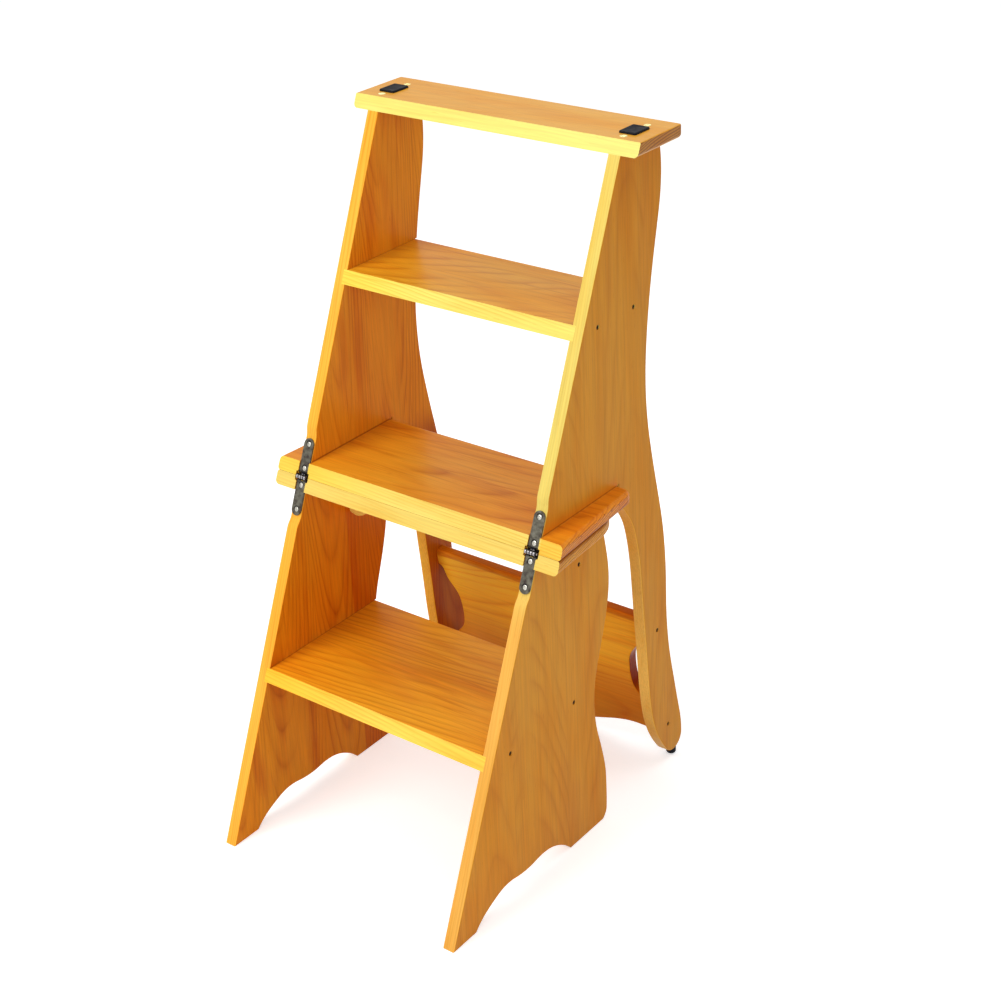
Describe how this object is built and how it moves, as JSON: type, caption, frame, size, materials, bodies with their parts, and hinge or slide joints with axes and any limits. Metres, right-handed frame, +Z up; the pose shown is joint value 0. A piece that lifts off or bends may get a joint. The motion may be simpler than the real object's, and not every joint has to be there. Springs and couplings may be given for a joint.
{
  "type": "folding ladder chair",
  "caption": "Varnished pine library step ladder with shaped side panels that folds over on two hinges into a chair.",
  "frame": {"origin": "on the floor, on the middle plane, under the middle of the overall depth, with the ladder set up", "axes": "+Z up, +Y from the climbing side to the rear legs, +X to the right for someone climbing"},
  "size_m": [0.4438, 0.5012, 0.9],
  "materials": {
    "varnished_pine": "clear satin varnish",
    "plug_pine": "clear satin varnish",
    "hinge_pewter": "antique pewter plating",
    "screw_steel": "zinc plated",
    "black_rubber": "smooth"
  },
  "bodies": {
    "lower_unit": {"lower_side_panel_left": "varnished_pine", "lower_side_panel_right": "varnished_pine", "lower_seat_board": "varnished_pine", "lower_step": "varnished_pine", "lower_apron": "varnished_pine", "lower_hinge_leaf_left": "hinge_pewter", "lower_hinge_leaf_right": "hinge_pewter", "hinge_pin_left": "hinge_pewter", "hinge_pin_right": "hinge_pewter", "lower_hinge_screws": "screw_steel", "lower_step_screws": "screw_steel", "apron_screws": "screw_steel", "lower_seat_screws": "screw_steel", "lower_seat_plugs": "plug_pine"},
    "upper_unit": {"upper_side_panel_left": "varnished_pine", "upper_side_panel_right": "varnished_pine", "upper_seat_board": "varnished_pine", "upper_step": "varnished_pine", "top_board": "varnished_pine", "back_board": "varnished_pine", "top_pad_left": "black_rubber", "top_pad_right": "black_rubber", "leg_foot_left": "black_rubber", "leg_foot_right": "black_rubber", "upper_hinge_leaf_left": "hinge_pewter", "upper_hinge_leaf_right": "hinge_pewter", "upper_hinge_screws": "screw_steel", "upper_step_screws": "screw_steel", "back_board_screws": "screw_steel", "upper_seat_screws": "screw_steel", "top_board_screws": "screw_steel", "upper_seat_plugs": "plug_pine", "top_board_plugs": "plug_pine"}
  },
  "joints": [
    {"name": "fold", "type": "hinge", "parent": "lower_unit", "child": "upper_unit", "pos_m": [0, -0.05769, 0.45], "axis": [1, 0, 0], "range_deg": [0, 180]}
  ]
}
